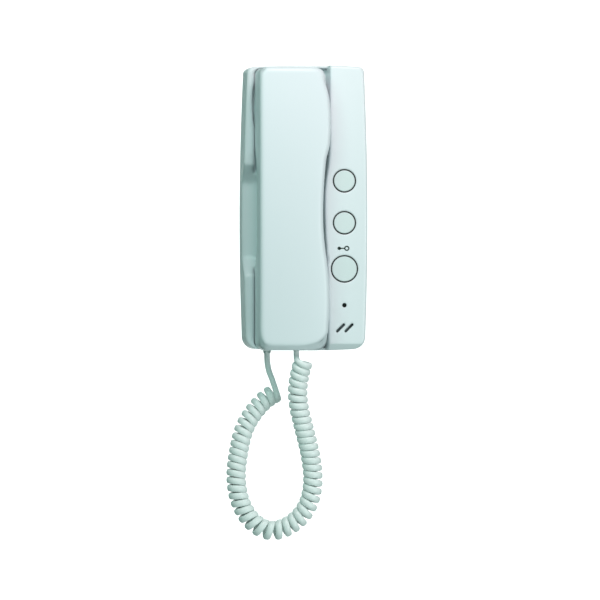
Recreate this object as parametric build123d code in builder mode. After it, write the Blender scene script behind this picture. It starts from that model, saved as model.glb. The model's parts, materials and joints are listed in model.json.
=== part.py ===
from build123d import *
import math
import os

os.makedirs("parts", exist_ok=True)

# A wall intercom station: a base with a button panel, a handset in its cradle and a curly cord.
# Lengths are in millimetres. X runs to the right, Z runs up and the front faces -Y.
# The wall is the plane Y = 0. A depth is a distance from the wall towards the front.

# Base outline, seen from the front
body_height = 205.6
body_width = 88.0
top_width = 82.6
bottom_width = 84.2
top_crown = 1.2
bottom_crown = 1.6
top_corner_r = 4.5
bottom_corner_r = 9.0

# Depths of the base
parting_depth = 10.0
floor_depth = 20.0
cheek_depth = 25.0
panel_depth = 40.0
case_wall = 2.0

# One overrun for every cut, and the play of the pieces that fit each other
overrun = 1.0
slide_play = 0.1
loose_play = 0.4
rest_gap = 0.3

# Cradle, a tray between the left cheek and the panel
cheek_inner_x = -36.9
cradle_top_z = 101.1
cradle_bottom_z = -100.8
cradle_corner_r = 5.0
seat_rise = 2.0
seat_rim_rise = 1.4
seat_rim_width = 1.8
seat_play = 1.2

# Finger scoop in the left cheek
scoop_depth = 13.0
scoop_top_z = 18.5
scoop_bottom_z = -36.0
scoop_ramp = 14.0
scoop_round_r = 5.0
scoop_end_x = -21.0

# Panel: its left wall follows the handset's waist
panel_shoulder_x = 16.8
panel_shoulder_z = 47.0
panel_waist_x = 13.1
panel_waist_z = 4.0
panel_low_x = 15.7
panel_low_z = -62.0
panel_bevel_height = 4.6
panel_bevel_depth = 6.0
panel_round_r = 1.8

# Buttons, one column on the panel
button_x = 27.0
talk_z = 19.5
call_z = -10.7
door_z = -43.9
small_cap_r = 7.6
large_cap_r = 9.05
cap_moat = 0.85
cap_moat_depth = 2.2
cap_height = 8.4
cap_proud = 0.35
cap_wall = 1.4
cap_flange = 0.6
cap_flange_height = 1.0
cap_edge = 0.4
cap_stem_r = 2.2
guide_wall = 1.2

# Switches that the buttons push
switch_size = 6.0
switch_height = 3.0
switch_bore_r = 1.8
switch_floor = 0.3
contact_length = 2.8

# Status lens and its lamp
lens_z = -70.1
lens_r = 1.5
lens_flange_r = 2.3
lens_flange_height = 1.2
lamp_r = 1.5
lamp_height = 2.2

# Sound slots and the chime speaker
slot_z = -86.4
slot_x = 27.3
slot_length = 8.6
slot_width = 2.0
slot_spacing = 6.1
slot_angle = 45.0
speaker_r = 7.6
speaker_height = 5.0
speaker_lip = 1.5
speaker_magnet_r = 4.5
speaker_magnet_height = 1.6
speaker_gasket_height = 1.0
collar_wall = 1.2

# Main circuit board, behind the buttons
board_thick = 1.6
main_board_depth = 26.0
main_board_left_x = 19.3
main_board_right_x = 40.0
main_board_top_z = 58.0
main_board_low_z = -77.5
main_boss_r = 2.5
main_boss_places = [(button_x, 46.0), (37.2, -27.3), (37.2, -64.0)]

# Self-tapping screws, small ones for boards and larger ones for the cases
board_screw_r = 1.0
board_head_r = 2.0
board_head_height = 1.5
board_screw_length = 6.0
case_screw_r = 1.25
case_head_r = 2.2
case_head_height = 1.7
case_screw_length = 11.0
pilot_play = 0.05
hole_play = 0.25
recess_share = 0.55
cross_width = 0.6

# Rear case
rear_wall_depth = 4.0
rear_rim = 2.6
lip_height = 0.8
lip_thick = 0.9
case_boss_r = 2.6
case_boss_places = [(-36.3, 86.0), (37.0, 86.0), (-36.3, -86.0), (36.6, -91.2)]
terminal_window_width = 36.0
terminal_window_height = 15.0

# Wall bracket
bracket_width = 62.0
bracket_height = 118.0
bracket_thick = 1.2
bracket_corner_r = 4.0
bracket_flange = 1.6
mount_spacing = 83.5
mount_slot_length = 9.0
mount_hole_r = 2.3
cable_window_width = 40.0
cable_window_height = 34.0
cable_window_corner_r = 3.0
tab_x = 22.0
tab_z = 34.0
tab_width = 8.0
tab_lip = 3.6

# Terminal board, on the rear case
terminal_board_depth = 8.0
terminal_board_width = 40.0
terminal_board_top_z = 14.0
terminal_board_low_z = -60.0
terminal_board_x = -6.0
post_r = 2.6
post_inset = 3.4
terminal_width = 30.0
terminal_height = 12.0
terminal_proud = 5.2
terminal_count = 6
terminal_pitch = 4.8
terminal_screw_r = 1.5
terminal_screw_height = 0.6
terminal_screw_z = 2.4
wire_hole_size = 2.0
wire_hole_z = -3.2

# Hook switch and its plunger, under the handset's lower head
hook_z = -54.0
plunger_r = 4.0
plunger_flange_r = 5.4
plunger_flange_height = 1.4
plunger_travel = 3.0
plunger_tip_edge = 1.0
hook_switch_size = 6.0

# Handset outline, seen from the front
handset_left_x = -36.2
handset_top_z = 100.6
handset_bottom_z = -102.4
handset_left_top_r = 5.0
handset_left_low_r = 6.0
handset_right_low_r = 8.0
crown_x = 0.6
crown_turns = [90, 66, 38, 0]
ear_wide_x = 15.4
ear_wide_z = 64.0
ear_low_x = 14.7
ear_low_z = 46.0
ear_neck_x = 11.6
ear_neck_z = 32.0
waist_x = 9.6
waist_z = -5.0
mouth_wide_x = 14.4
mouth_wide_z = -66.0
mouth_low_x = 13.0

# Handset seen from the side
handset_front_depth = 57.2
handset_end_depth = 55.8
head_depth = 25.0
grip_depth = 35.0
ear_head_low_z = 43.0
grip_top_z = 29.0
grip_low_z = -27.0
mouth_head_top_z = -43.0
head_bend_r = 7.0
grip_bend_r = 10.0
handset_bevel_height = 3.6
handset_bevel_depth = 5.5
front_round_r = 3.0
back_round_r = 2.6
handset_wall = 2.2
handset_parting = 47.0
parting_groove = 0.35

# Ear and mouth ends of the handset
head_x = -10.4
ear_z = 66.0
ear_pad_r = 22.0
mouth_z = -80.0
mouth_pad_r = 13.0
pad_edge = 1.0
ear_dish_r = 17.5
ear_dish_depth = 1.6
mouth_dish_r = 9.5
mouth_dish_depth = 0.9
dish_taper = 50.0
sound_hole_r = 1.1
ear_ring_shares = [(6, 0.4)]
mouth_ring_shares = [(4, 0.45)]
receiver_r = 17.0
receiver_height = 7.0
receiver_magnet_r = 9.0
receiver_magnet_height = 4.5
receiver_gasket_width = 4.0
receiver_gasket_height = 1.2
holder_wall = 1.4
holder_height = 5.0
microphone_r = 4.8
microphone_height = 5.2
boot_wall = 1.6
handset_screw_x = -13.0
handset_screw_z = 19.0
handset_boss_r = 3.2
handset_sink = 2.0
handset_screw_seat = 2.2

# Modular sockets and plugs for the cord
plug_width = 7.6
plug_height = 6.5
plug_length = 10.5
plug_play = 0.15
plug_edge = 0.8
plug_neck_r = 2.9
plug_neck_length = 2.0
plug_contact_width = 0.6
plug_contact_pitch = 1.3
plug_contact_length = 4.0
plug_contact_depth = 0.9
plug_contact_count = 4
socket_width = 11.4
socket_height = 11.0
socket_length = 15.0
socket_tongue_width = 3.2
socket_tongue_height = 1.5
door_play = 0.5
base_socket_x = -25.5
base_socket_depth = 11.8
handset_socket_x = -8.1
handset_socket_depth = 41.0
back_facing_share = 0.3

# Cord, in real places: (X, depth, Z)
cord_d = 4.2
cord_sides = 6
curl_r = 5.1
curl_turns = 47
curl_start_angle = -14.0
curl_end_angle = 100.0
curl_bend_look = 3.0
axis_steps = 16
axis_look_share = 0.004
turn_samples = 400
strand_look_share = 0.0002
run_share = 0.45
gap_samples = 3000
lead_last_run = 6.0
lead_points = [
    (-25.5, 11.8, -104.8),
    (-25.5, 11.8, -110.8),
    (-24.4, 13.8, -118.0),
]
curl_axis_points = [
    (-19.5, 15.0, -133.5),
    (-26.0, 15.2, -136.6),
    (-35.4, 16.4, -146.4),
    (-43.2, 17.6, -158.6),
    (-47.4, 19.2, -176.0),
    (-49.8, 21.0, -194.0),
    (-47.2, 22.6, -212.0),
    (-38.2, 25.2, -227.2),
    (-24.4, 27.8, -234.0),
    (-9.2, 31.0, -228.2),
    (1.6, 34.2, -215.4),
    (5.2, 36.6, -197.6),
    (2.8, 38.4, -178.0),
    (-2.6, 39.8, -158.0),
    (-7.4, 40.8, -139.0),
    (-6.6, 41.4, -124.0),
    (-4.0, 45.0, -113.0),
]

# Places that follow from the sizes above
half_height = body_height / 2
top_corner_z = half_height - top_crown
bottom_corner_z = -half_height + bottom_crown
rear_floor_depth = rear_wall_depth + case_wall
floor_inner_depth = floor_depth - case_wall
panel_inner_depth = panel_depth - case_wall
main_board_front = main_board_depth + board_thick
terminal_board_front = terminal_board_depth + board_thick
seat_depth = floor_depth + seat_rise
cap_bottom_depth = panel_depth + cap_proud - cap_height
guide_bottom_depth = cap_bottom_depth + cap_flange_height
bevel_end_depth = handset_bevel_depth * (1 + overrun / handset_bevel_height)
pad_depth = seat_depth + rest_gap
base_socket_edge_share = (base_socket_x - socket_width / 2) / (bottom_width / 2)
base_socket_drop = bottom_crown * (1 - base_socket_edge_share**2)
base_socket_mouth_z = bottom_corner_z - base_socket_drop + case_wall + slide_play
base_plug_end_z = -half_height
handset_plug_end_z = handset_bottom_z + plug_neck_length
handset_socket_mouth_z = handset_bottom_z + handset_wall
handset_boss_depth = grip_depth + handset_sink + handset_screw_seat
handset_screw_places = [(handset_screw_x, handset_screw_z), (handset_screw_x, -handset_screw_z)]
buttons = [
    ("talk", talk_z, small_cap_r),
    ("call", call_z, small_cap_r),
    ("door_release", door_z, large_cap_r),
]


def front_plane(depth):
    # A plane parallel to the wall: its own x is X, its own y is Z, and it faces the front.
    return Plane.XZ.offset(depth)


# Smooth lines are made of tangent arcs


def biarc(start, start_way, end, end_way):
    # the joint of two arcs that leave start and reach end along the given ways, and the way there
    chord = end - start
    spread = 2 * (1 - start_way.dot(end_way))
    along = chord.dot(start_way + end_way)
    reach = chord.dot(chord) / (along + math.sqrt(along**2 + spread * chord.dot(chord)))
    joint = (start + end + (start_way - end_way) * reach) / 2
    way = ((end - end_way * reach) - (start + start_way * reach)).normalized()
    return joint, way


def arc_chain(stations):
    # pairs of tangent arcs from station to station, each a place and the way that the line has there
    for (start, start_way), (end, end_way) in zip(stations, stations[1:]):
        joint, joint_way = biarc(start, start_way, end, end_way)
        TangentArc(start, joint, tangent=start_way)
        TangentArc(joint, end, tangent=joint_way)


# Profiles that several pieces share, drawn as X across and Z up, each narrowed by an inset


def body_outline(inset):
    half_top = top_width / 2 - inset
    half_bottom = bottom_width / 2 - inset
    high = top_corner_z - inset
    low = bottom_corner_z + inset
    with BuildSketch() as outline:
        with BuildLine():
            ThreePointArc((half_bottom, low), (body_width / 2 - inset, 0), (half_top, high))
            ThreePointArc((half_top, high), (0, half_height - inset), (-half_top, high))
            ThreePointArc((-half_top, high), (inset - body_width / 2, 0), (-half_bottom, low))
            ThreePointArc((-half_bottom, low), (0, inset - half_height), (half_bottom, low))
        make_face()
        fillet(outline.vertices().group_by(Axis.Y)[-1], radius=top_corner_r - inset)
        fillet(outline.vertices().group_by(Axis.Y)[0], radius=bottom_corner_r - inset)
    return outline.sketch


down = Vector(0, -1)


def right_of_panel_wall(inset):
    shoulder = Vector(panel_shoulder_x + inset, panel_shoulder_z)
    waist = Vector(panel_waist_x + inset, panel_waist_z)
    low = Vector(panel_low_x + inset, panel_low_z)
    with BuildSketch() as area:
        with BuildLine():
            arc_chain([(shoulder, down), (waist, down), (low, down)])
            Polyline(
                low,
                (panel_low_x + inset, -body_height),
                (body_width, -body_height),
                (body_width, body_height),
                (panel_shoulder_x + inset, body_height),
                shoulder,
            )
        make_face()
    return area.sketch


def panel_outline(inset):
    with BuildSketch() as outline:
        add(right_of_panel_wall(inset))
        add(body_outline(inset), mode=Mode.INTERSECT)
    return outline.sketch


def handset_outline(inset):
    top = handset_top_z - inset
    bottom = handset_bottom_z + inset
    left = handset_left_x + inset
    # the crown is a quarter of an ellipse, and the side below it swings in at the waist
    crown = []
    for turn in crown_turns:
        level = math.cos(math.radians(turn))
        rise = math.sin(math.radians(turn))
        spot = (crown_x + (ear_wide_x - crown_x - inset) * level, ear_wide_z + (top - ear_wide_z) * rise)
        way = ((ear_wide_x - crown_x - inset) * rise, (ear_wide_z - top) * level)
        crown.append((Vector(*spot), Vector(*way).normalized()))
    right_side = [
        (Vector(ear_low_x - inset, ear_low_z), Vector(ear_neck_x - ear_wide_x, ear_neck_z - ear_wide_z)),
        (Vector(ear_neck_x - inset, ear_neck_z), Vector(waist_x - ear_low_x, waist_z - ear_low_z)),
        (Vector(waist_x - inset, waist_z), down),
        (Vector(mouth_wide_x - inset, mouth_wide_z), down),
        (Vector(mouth_low_x - inset, bottom), down),
    ]
    right_side = [(spot, way.normalized()) for spot, way in right_side]
    with BuildSketch() as outline:
        with BuildLine():
            arc_chain(crown + right_side)
            Polyline((mouth_low_x - inset, bottom), (left, bottom), (left, top), (crown_x, top))
        make_face()
        for corner, corner_r in [
            ((left, top), handset_left_top_r),
            ((left, bottom), handset_left_low_r),
            ((mouth_low_x - inset, bottom), handset_right_low_r),
        ]:
            nearest = outline.vertices().sort_by_distance(corner)[0]
            fillet(nearest, radius=corner_r - inset)
    return outline.sketch


with BuildSketch() as cradle_profile:
    with BuildLine():
        Polyline(
            (cheek_inner_x, cradle_bottom_z),
            (body_width, cradle_bottom_z),
            (body_width, cradle_top_z),
            (cheek_inner_x, cradle_top_z),
            close=True,
        )
    make_face()
    fillet(cradle_profile.vertices().group_by(Axis.X)[0], radius=cradle_corner_r)
    add(right_of_panel_wall(0), mode=Mode.SUBTRACT)

# The handset from the side, drawn as Y across and Z up, so depths are negative

with BuildSketch() as handset_side:
    with BuildLine():
        back_line = Polyline(
            (-handset_end_depth, handset_top_z + overrun),
            (-head_depth, handset_top_z + overrun),
            (-head_depth, ear_head_low_z),
            (-grip_depth, grip_top_z),
            (-grip_depth, grip_low_z),
            (-head_depth, mouth_head_top_z),
            (-head_depth, handset_bottom_z - overrun),
            (bevel_end_depth - handset_end_depth, handset_bottom_z - overrun),
            (-handset_end_depth, handset_bottom_z + handset_bevel_height),
        )
        ThreePointArc(back_line @ 1, (-handset_front_depth, 0), back_line @ 0)
    make_face()
    for bend_depth, bend_z, bend_r in [
        (head_depth, ear_head_low_z, head_bend_r),
        (grip_depth, grip_top_z, grip_bend_r),
        (grip_depth, grip_low_z, grip_bend_r),
        (head_depth, mouth_head_top_z, head_bend_r),
    ]:
        corners = handset_side.vertices()
        fillet(corners.sort_by_distance((-bend_depth, bend_z))[0], radius=bend_r)

# Wall bracket

with BuildPart() as wall_bracket:
    with BuildSketch(front_plane(0)):
        RectangleRounded(bracket_width, bracket_height, bracket_corner_r)
        RectangleRounded(cable_window_width, cable_window_height, cable_window_corner_r, mode=Mode.SUBTRACT)
        with Locations((0, mount_spacing / 2), (0, -mount_spacing / 2)):
            SlotOverall(mount_slot_length, mount_hole_r * 2, rotation=90, mode=Mode.SUBTRACT)
    extrude(amount=bracket_thick)
    with BuildSketch(front_plane(bracket_thick)):
        with GridLocations(bracket_width - bracket_thick, bracket_height, 2, 1):
            Rectangle(bracket_thick, bracket_height - bracket_corner_r * 2)
    extrude(amount=bracket_flange)
    with BuildSketch(front_plane(bracket_thick)):
        with Locations((tab_x, tab_z), (-tab_x, tab_z), (tab_x, -tab_z), (-tab_x, -tab_z)):
            Rectangle(tab_width, bracket_thick)
    extrude(amount=rear_floor_depth + slide_play)
    with BuildSketch(front_plane(rear_floor_depth + slide_play)):
        for x, z in [(tab_x, tab_z), (-tab_x, tab_z), (tab_x, -tab_z), (-tab_x, -tab_z)]:
            with Locations((x, z + tab_lip / 2)):
                Rectangle(tab_width, bracket_thick + tab_lip)
    extrude(amount=bracket_thick)
wall_bracket.part.label = "wall_bracket"
export_step(wall_bracket.part, "parts/wall_bracket.step")

# Rear case

with BuildPart() as rear_case:
    with BuildSketch(front_plane(0)):
        add(body_outline(0))
    extrude(amount=parting_depth)
    with BuildSketch(front_plane(0)):
        add(body_outline(rear_rim))
    extrude(amount=rear_wall_depth, mode=Mode.SUBTRACT)
    with BuildSketch(front_plane(rear_floor_depth)):
        add(body_outline(case_wall + slide_play + lip_thick))
        with Locations(*case_boss_places):
            Circle(case_boss_r + hole_play)
    extrude(amount=parting_depth - rear_floor_depth, mode=Mode.SUBTRACT)
    # the lip that locates the front case
    with BuildSketch(front_plane(parting_depth)):
        add(body_outline(case_wall + slide_play))
        add(body_outline(case_wall + slide_play + lip_thick), mode=Mode.SUBTRACT)
        with Locations(*case_boss_places):
            Circle(case_boss_r + hole_play, mode=Mode.SUBTRACT)
    extrude(amount=lip_height)
    # posts for the terminal board
    with BuildSketch(front_plane(rear_floor_depth)):
        with Locations((terminal_board_x, (terminal_board_top_z + terminal_board_low_z) / 2)):
            with GridLocations(
                terminal_board_width - post_inset * 2,
                terminal_board_top_z - terminal_board_low_z - post_inset * 2,
                2,
                2,
            ):
                Circle(post_r)
    extrude(amount=terminal_board_depth - rear_floor_depth)
    with BuildSketch(front_plane(rear_floor_depth)):
        with Locations((terminal_board_x, (terminal_board_top_z + terminal_board_low_z) / 2)):
            with GridLocations(
                terminal_board_width - post_inset * 2,
                terminal_board_top_z - terminal_board_low_z - post_inset * 2,
                2,
                2,
            ):
                Circle(board_screw_r + pilot_play)
    extrude(amount=terminal_board_depth - rear_floor_depth + overrun, mode=Mode.SUBTRACT)
    # slots for the bracket's tabs, the screws' holes and the window for the terminals
    with BuildSketch(front_plane(0)):
        for x, z in [(tab_x, tab_z), (-tab_x, tab_z), (tab_x, -tab_z), (-tab_x, -tab_z)]:
            slot_low = z - tab_lip - bracket_thick
            slot_high = z + bracket_thick / 2
            with Locations((x, (slot_low + slot_high) / 2)):
                Rectangle(tab_width + loose_play * 2, slot_high - slot_low)
        with Locations(*case_boss_places):
            Circle(case_screw_r + hole_play)
        with Locations((0, 0)):
            RectangleRounded(terminal_window_width, terminal_window_height, cable_window_corner_r)
    extrude(amount=parting_depth, mode=Mode.SUBTRACT)
    # the cord plug's doorway in the bottom wall
    with BuildSketch(Plane.XY.offset(-body_height)):
        with Locations((base_socket_x, -base_socket_depth)):
            Rectangle(plug_width + door_play * 2, plug_height + door_play * 2)
    extrude(amount=body_height + base_socket_mouth_z + loose_play, mode=Mode.SUBTRACT)
    with BuildSketch(Plane.XY.offset(base_socket_mouth_z - slide_play)):
        with Locations((base_socket_x, -base_socket_depth)):
            Rectangle(socket_width + slide_play * 2, socket_height + slide_play * 2)
    extrude(amount=socket_length, mode=Mode.SUBTRACT)
rear_case.part.label = "rear_case"
export_step(rear_case.part, "parts/rear_case.step")

# Scoop: a wedge that is deepest at the left edge and runs out on the cradle's floor


def scoop_wedge(skin):
    with BuildPart() as wedge:
        for x, depth in [(-body_width / 2 - overrun, scoop_depth), (scoop_end_x, floor_depth)]:
            with BuildSketch(Plane.YZ.offset(x)) as section:
                with BuildLine():
                    Polyline(
                        (skin - depth, scoop_top_z + skin),
                        (-cheek_depth - overrun, scoop_top_z + scoop_ramp + skin),
                        (-cheek_depth - overrun, scoop_bottom_z - scoop_ramp - skin),
                        (skin - depth, scoop_bottom_z - skin),
                        close=True,
                    )
                make_face()
                fillet(section.vertices().group_by(Axis.X)[-1], radius=scoop_round_r)
        loft(ruled=True)
    return wedge.part


# The hollow behind the front case's skin

with BuildPart() as front_hollow:
    with BuildSketch(front_plane(parting_depth)):
        add(body_outline(case_wall))
    extrude(amount=floor_inner_depth - parting_depth)
    add(scoop_wedge(case_wall), mode=Mode.SUBTRACT)
    with BuildSketch(front_plane(parting_depth)):
        add(panel_outline(case_wall))
    extrude(amount=panel_inner_depth - parting_depth)
    # the bevel's skin keeps its thickness inside
    with BuildSketch(Plane.YZ.offset(0)):
        with BuildLine():
            Polyline(
                (-panel_inner_depth - overrun, -half_height - overrun),
                (panel_bevel_depth - panel_inner_depth, -half_height - overrun),
                (-panel_inner_depth - overrun, bottom_corner_z + panel_bevel_height + case_wall),
                close=True,
            )
        make_face()
    extrude(amount=body_width, mode=Mode.SUBTRACT)

# Front case

with BuildPart() as front_case:
    with BuildSketch(front_plane(parting_depth)):
        add(body_outline(0))
    extrude(amount=cheek_depth - parting_depth)
    with BuildSketch(front_plane(parting_depth)):
        add(panel_outline(0))
    extrude(amount=panel_depth - parting_depth)
    with BuildSketch(front_plane(floor_depth)):
        add(cradle_profile.sketch)
    extrude(amount=panel_depth - floor_depth + overrun, mode=Mode.SUBTRACT)
    add(scoop_wedge(0), mode=Mode.SUBTRACT)
    with BuildSketch(Plane.YZ.offset(0)):
        with BuildLine():
            Polyline(
                (-panel_depth - overrun, -half_height - overrun),
                (panel_bevel_depth - panel_depth, -half_height - overrun),
                (-panel_depth - overrun, bottom_corner_z + panel_bevel_height),
                close=True,
            )
        make_face()
    extrude(amount=body_width, mode=Mode.SUBTRACT)
    panel_face = front_case.faces().filter_by(Axis.Y).sort_by(Axis.Y)[0]
    fillet(panel_face.edges(), radius=panel_round_r)
    add(front_hollow.part, mode=Mode.SUBTRACT)
    # seats for the ear end and the mouth end of the handset
    with BuildSketch(front_plane(floor_inner_depth)):
        with Locations((head_x, ear_z)):
            Circle(ear_pad_r + seat_play + seat_rim_width)
        with Locations((head_x, mouth_z)):
            Circle(mouth_pad_r + seat_rim_width)
    extrude(amount=seat_depth - floor_inner_depth)
    with BuildSketch(front_plane(seat_depth)):
        with Locations((head_x, ear_z)):
            Circle(ear_pad_r + seat_play + seat_rim_width)
            Circle(ear_pad_r + seat_play, mode=Mode.SUBTRACT)
    extrude(amount=seat_rim_rise)
    # button guides and the speaker's collar, behind the panel
    with BuildSketch(front_plane(guide_bottom_depth)):
        for name, z, cap_r in buttons:
            with Locations((button_x, z)):
                Circle(cap_r + slide_play + guide_wall)
    extrude(amount=panel_inner_depth - guide_bottom_depth)
    with BuildSketch(front_plane(guide_bottom_depth)):
        for name, z, cap_r in buttons:
            with Locations((button_x, z)):
                Circle(cap_r + slide_play)
    extrude(amount=panel_depth, mode=Mode.SUBTRACT)
    with BuildSketch(front_plane(panel_depth - cap_moat_depth)):
        for name, z, cap_r in buttons:
            with Locations((button_x, z)):
                Circle(cap_r + cap_moat)
    extrude(amount=cap_moat_depth + overrun, mode=Mode.SUBTRACT)
    with BuildSketch(front_plane(panel_inner_depth - speaker_gasket_height - speaker_height)):
        with Locations((slot_x, slot_z)):
            Circle(speaker_r + slide_play + collar_wall)
            Circle(speaker_r + slide_play, mode=Mode.SUBTRACT)
        add(panel_outline(0), mode=Mode.INTERSECT)
    extrude(amount=speaker_gasket_height + speaker_height)
    # bosses for the main board's screws and the case screws
    with BuildSketch(front_plane(main_board_front)):
        with Locations(*main_boss_places):
            Circle(main_boss_r)
    extrude(amount=panel_inner_depth - main_board_front)
    with BuildSketch(front_plane(main_board_front)):
        with Locations(*main_boss_places):
            Circle(board_screw_r + pilot_play)
    extrude(amount=board_screw_length, mode=Mode.SUBTRACT)
    for boss_x, boss_z in case_boss_places:
        boss_top = panel_inner_depth if boss_x > 0 else floor_inner_depth
        with BuildSketch(front_plane(rear_floor_depth)):
            with Locations((boss_x, boss_z)):
                Circle(case_boss_r)
        extrude(amount=boss_top - rear_floor_depth)
    with BuildSketch(front_plane(rear_floor_depth)):
        with Locations(*case_boss_places):
            Circle(case_screw_r + pilot_play)
    extrude(amount=case_screw_length - case_wall, mode=Mode.SUBTRACT)
    # sound slots, the lens's hole and the plunger's guide
    with BuildSketch(front_plane(panel_inner_depth)):
        with Locations((slot_x - slot_spacing / 2, slot_z), (slot_x + slot_spacing / 2, slot_z)):
            SlotOverall(slot_length, slot_width, rotation=slot_angle)
        with Locations((button_x, lens_z)):
            Circle(lens_r + slide_play)
    extrude(amount=case_wall + overrun, mode=Mode.SUBTRACT)
    with BuildSketch(front_plane(parting_depth)):
        with Locations((head_x, hook_z)):
            Circle(plunger_r + slide_play)
    extrude(amount=floor_depth - parting_depth + overrun, mode=Mode.SUBTRACT)
    with BuildSketch(Plane.XY.offset(-body_height)):
        with Locations((base_socket_x, -base_socket_depth)):
            Rectangle(plug_width + door_play * 2, plug_height + door_play * 2)
    extrude(amount=body_height + base_socket_mouth_z + loose_play, mode=Mode.SUBTRACT)
front_case.part.label = "front_case"
export_step(front_case.part, "parts/front_case.step")

# Case screws, driven from the recess at the back

with BuildPart() as case_screws:
    with BuildSketch(front_plane(rear_wall_depth - case_head_height)):
        with Locations(*case_boss_places):
            Circle(case_head_r)
    extrude(amount=case_head_height)
    with BuildSketch(front_plane(rear_wall_depth)):
        with Locations(*case_boss_places):
            Circle(case_screw_r)
    extrude(amount=case_screw_length - case_wall)
    with BuildSketch(front_plane(rear_wall_depth - case_head_height)):
        with Locations(*case_boss_places):
            Rectangle(case_head_r * recess_share * 2, cross_width)
            Rectangle(cross_width, case_head_r * recess_share * 2)
    extrude(amount=case_head_height * recess_share, mode=Mode.SUBTRACT)
case_screws.part.label = "case_screws"
export_step(case_screws.part, "parts/case_screws.step")

# Main circuit board with its screws, switches and lamp

with BuildPart() as main_circuit_board:
    with BuildSketch(front_plane(main_board_depth)):
        with Locations(
            ((main_board_left_x + main_board_right_x) / 2, (main_board_top_z + main_board_low_z) / 2)
        ):
            Rectangle(main_board_right_x - main_board_left_x, main_board_top_z - main_board_low_z)
        with Locations(*main_boss_places):
            Circle(board_screw_r + hole_play, mode=Mode.SUBTRACT)
    extrude(amount=board_thick)
main_circuit_board.part.label = "main_circuit_board"
export_step(main_circuit_board.part, "parts/main_circuit_board.step")

with BuildPart() as main_board_screws:
    with BuildSketch(front_plane(main_board_depth - board_head_height)):
        with Locations(*main_boss_places):
            Circle(board_head_r)
    extrude(amount=board_head_height)
    with BuildSketch(front_plane(main_board_depth)):
        with Locations(*main_boss_places):
            Circle(board_screw_r)
    extrude(amount=board_screw_length)
main_board_screws.part.label = "main_board_screws"
export_step(main_board_screws.part, "parts/main_board_screws.step")

with BuildPart() as button_switches:
    with BuildSketch(front_plane(main_board_front)):
        for name, z, cap_r in buttons:
            with Locations((button_x, z)):
                Rectangle(switch_size, switch_size)
    extrude(amount=switch_height)
    with BuildSketch(front_plane(main_board_front + switch_floor)):
        for name, z, cap_r in buttons:
            with Locations((button_x, z)):
                Circle(switch_bore_r)
    extrude(amount=switch_height, mode=Mode.SUBTRACT)
button_switches.part.label = "button_switches"
export_step(button_switches.part, "parts/button_switches.step")

with BuildPart() as status_lamp:
    with BuildSketch(front_plane(main_board_front)):
        with Locations((button_x, lens_z)):
            Circle(lamp_r)
    extrude(amount=lamp_height)
    chamfer(status_lamp.faces().sort_by(Axis.Y)[0].edges(), length=lamp_r / 2)
status_lamp.part.label = "status_lamp"
export_step(status_lamp.part, "parts/status_lamp.step")

with BuildPart() as status_lens:
    with BuildSketch(front_plane(panel_inner_depth - lens_flange_height)):
        with Locations((button_x, lens_z)):
            Circle(lens_flange_r)
    extrude(amount=lens_flange_height)
    with BuildSketch(front_plane(main_board_front + lamp_height + rest_gap)):
        with Locations((button_x, lens_z)):
            Circle(lens_r)
    extrude(amount=panel_depth - main_board_front - lamp_height - rest_gap)
status_lens.part.label = "status_lens"
export_step(status_lens.part, "parts/status_lens.step")

# Round buttons: each cap has a flange behind its guide, and a stem that pushes its switch's contact


def button_cap(z, cap_r):
    with BuildPart() as cap:
        with BuildSketch(front_plane(cap_bottom_depth)):
            with Locations((button_x, z)):
                Circle(cap_r)
        extrude(amount=cap_height)
        chamfer(cap.faces().sort_by(Axis.Y)[0].edges(), length=cap_edge)
        with BuildSketch(front_plane(cap_bottom_depth)):
            with Locations((button_x, z)):
                Circle(cap_r + cap_flange)
        extrude(amount=cap_flange_height)
        with BuildSketch(front_plane(cap_bottom_depth)):
            with Locations((button_x, z)):
                Circle(cap_r - cap_wall)
                Circle(cap_stem_r, mode=Mode.SUBTRACT)
        extrude(amount=cap_height - cap_wall, mode=Mode.SUBTRACT)
    return cap.part


def switch_contact(z):
    with BuildPart() as contact:
        with BuildSketch(front_plane(cap_bottom_depth - contact_length)):
            with Locations((button_x, z)):
                Circle(switch_bore_r - slide_play)
        extrude(amount=contact_length)
    return contact.part


for button_name, button_z, button_r in buttons:
    with BuildPart() as button:
        add(button_cap(button_z, button_r))
    button.part.label = button_name + "_button"
    export_step(button.part, "parts/" + button_name + "_button.step")
    with BuildPart() as contact_pin:
        add(switch_contact(button_z))
    contact_pin.part.label = button_name + "_contact"
    export_step(contact_pin.part, "parts/" + button_name + "_contact.step")

# Chime speaker and its gasket, in the collar behind the slots

with BuildPart() as speaker_gasket:
    with BuildSketch(front_plane(panel_inner_depth - speaker_gasket_height)):
        with Locations((slot_x, slot_z)):
            Circle(speaker_r)
            Circle(speaker_r - speaker_lip, mode=Mode.SUBTRACT)
    extrude(amount=speaker_gasket_height)
speaker_gasket.part.label = "speaker_gasket"
export_step(speaker_gasket.part, "parts/speaker_gasket.step")

with BuildPart() as chime_speaker:
    with BuildSketch(front_plane(panel_inner_depth - speaker_gasket_height - speaker_height)):
        with Locations((slot_x, slot_z)):
            Circle(speaker_r)
    extrude(amount=speaker_height)
    with BuildSketch(front_plane(panel_inner_depth - speaker_gasket_height - speaker_lip)):
        with Locations((slot_x, slot_z)):
            Circle(speaker_r - speaker_lip)
    extrude(amount=speaker_lip, mode=Mode.SUBTRACT)
    with BuildSketch(
        front_plane(panel_inner_depth - speaker_gasket_height - speaker_height - speaker_magnet_height)
    ):
        with Locations((slot_x, slot_z)):
            Circle(speaker_magnet_r)
    extrude(amount=speaker_magnet_height)
chime_speaker.part.label = "chime_speaker"
export_step(chime_speaker.part, "parts/chime_speaker.step")

# Terminal board with its block, screws and the hook switch

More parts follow.
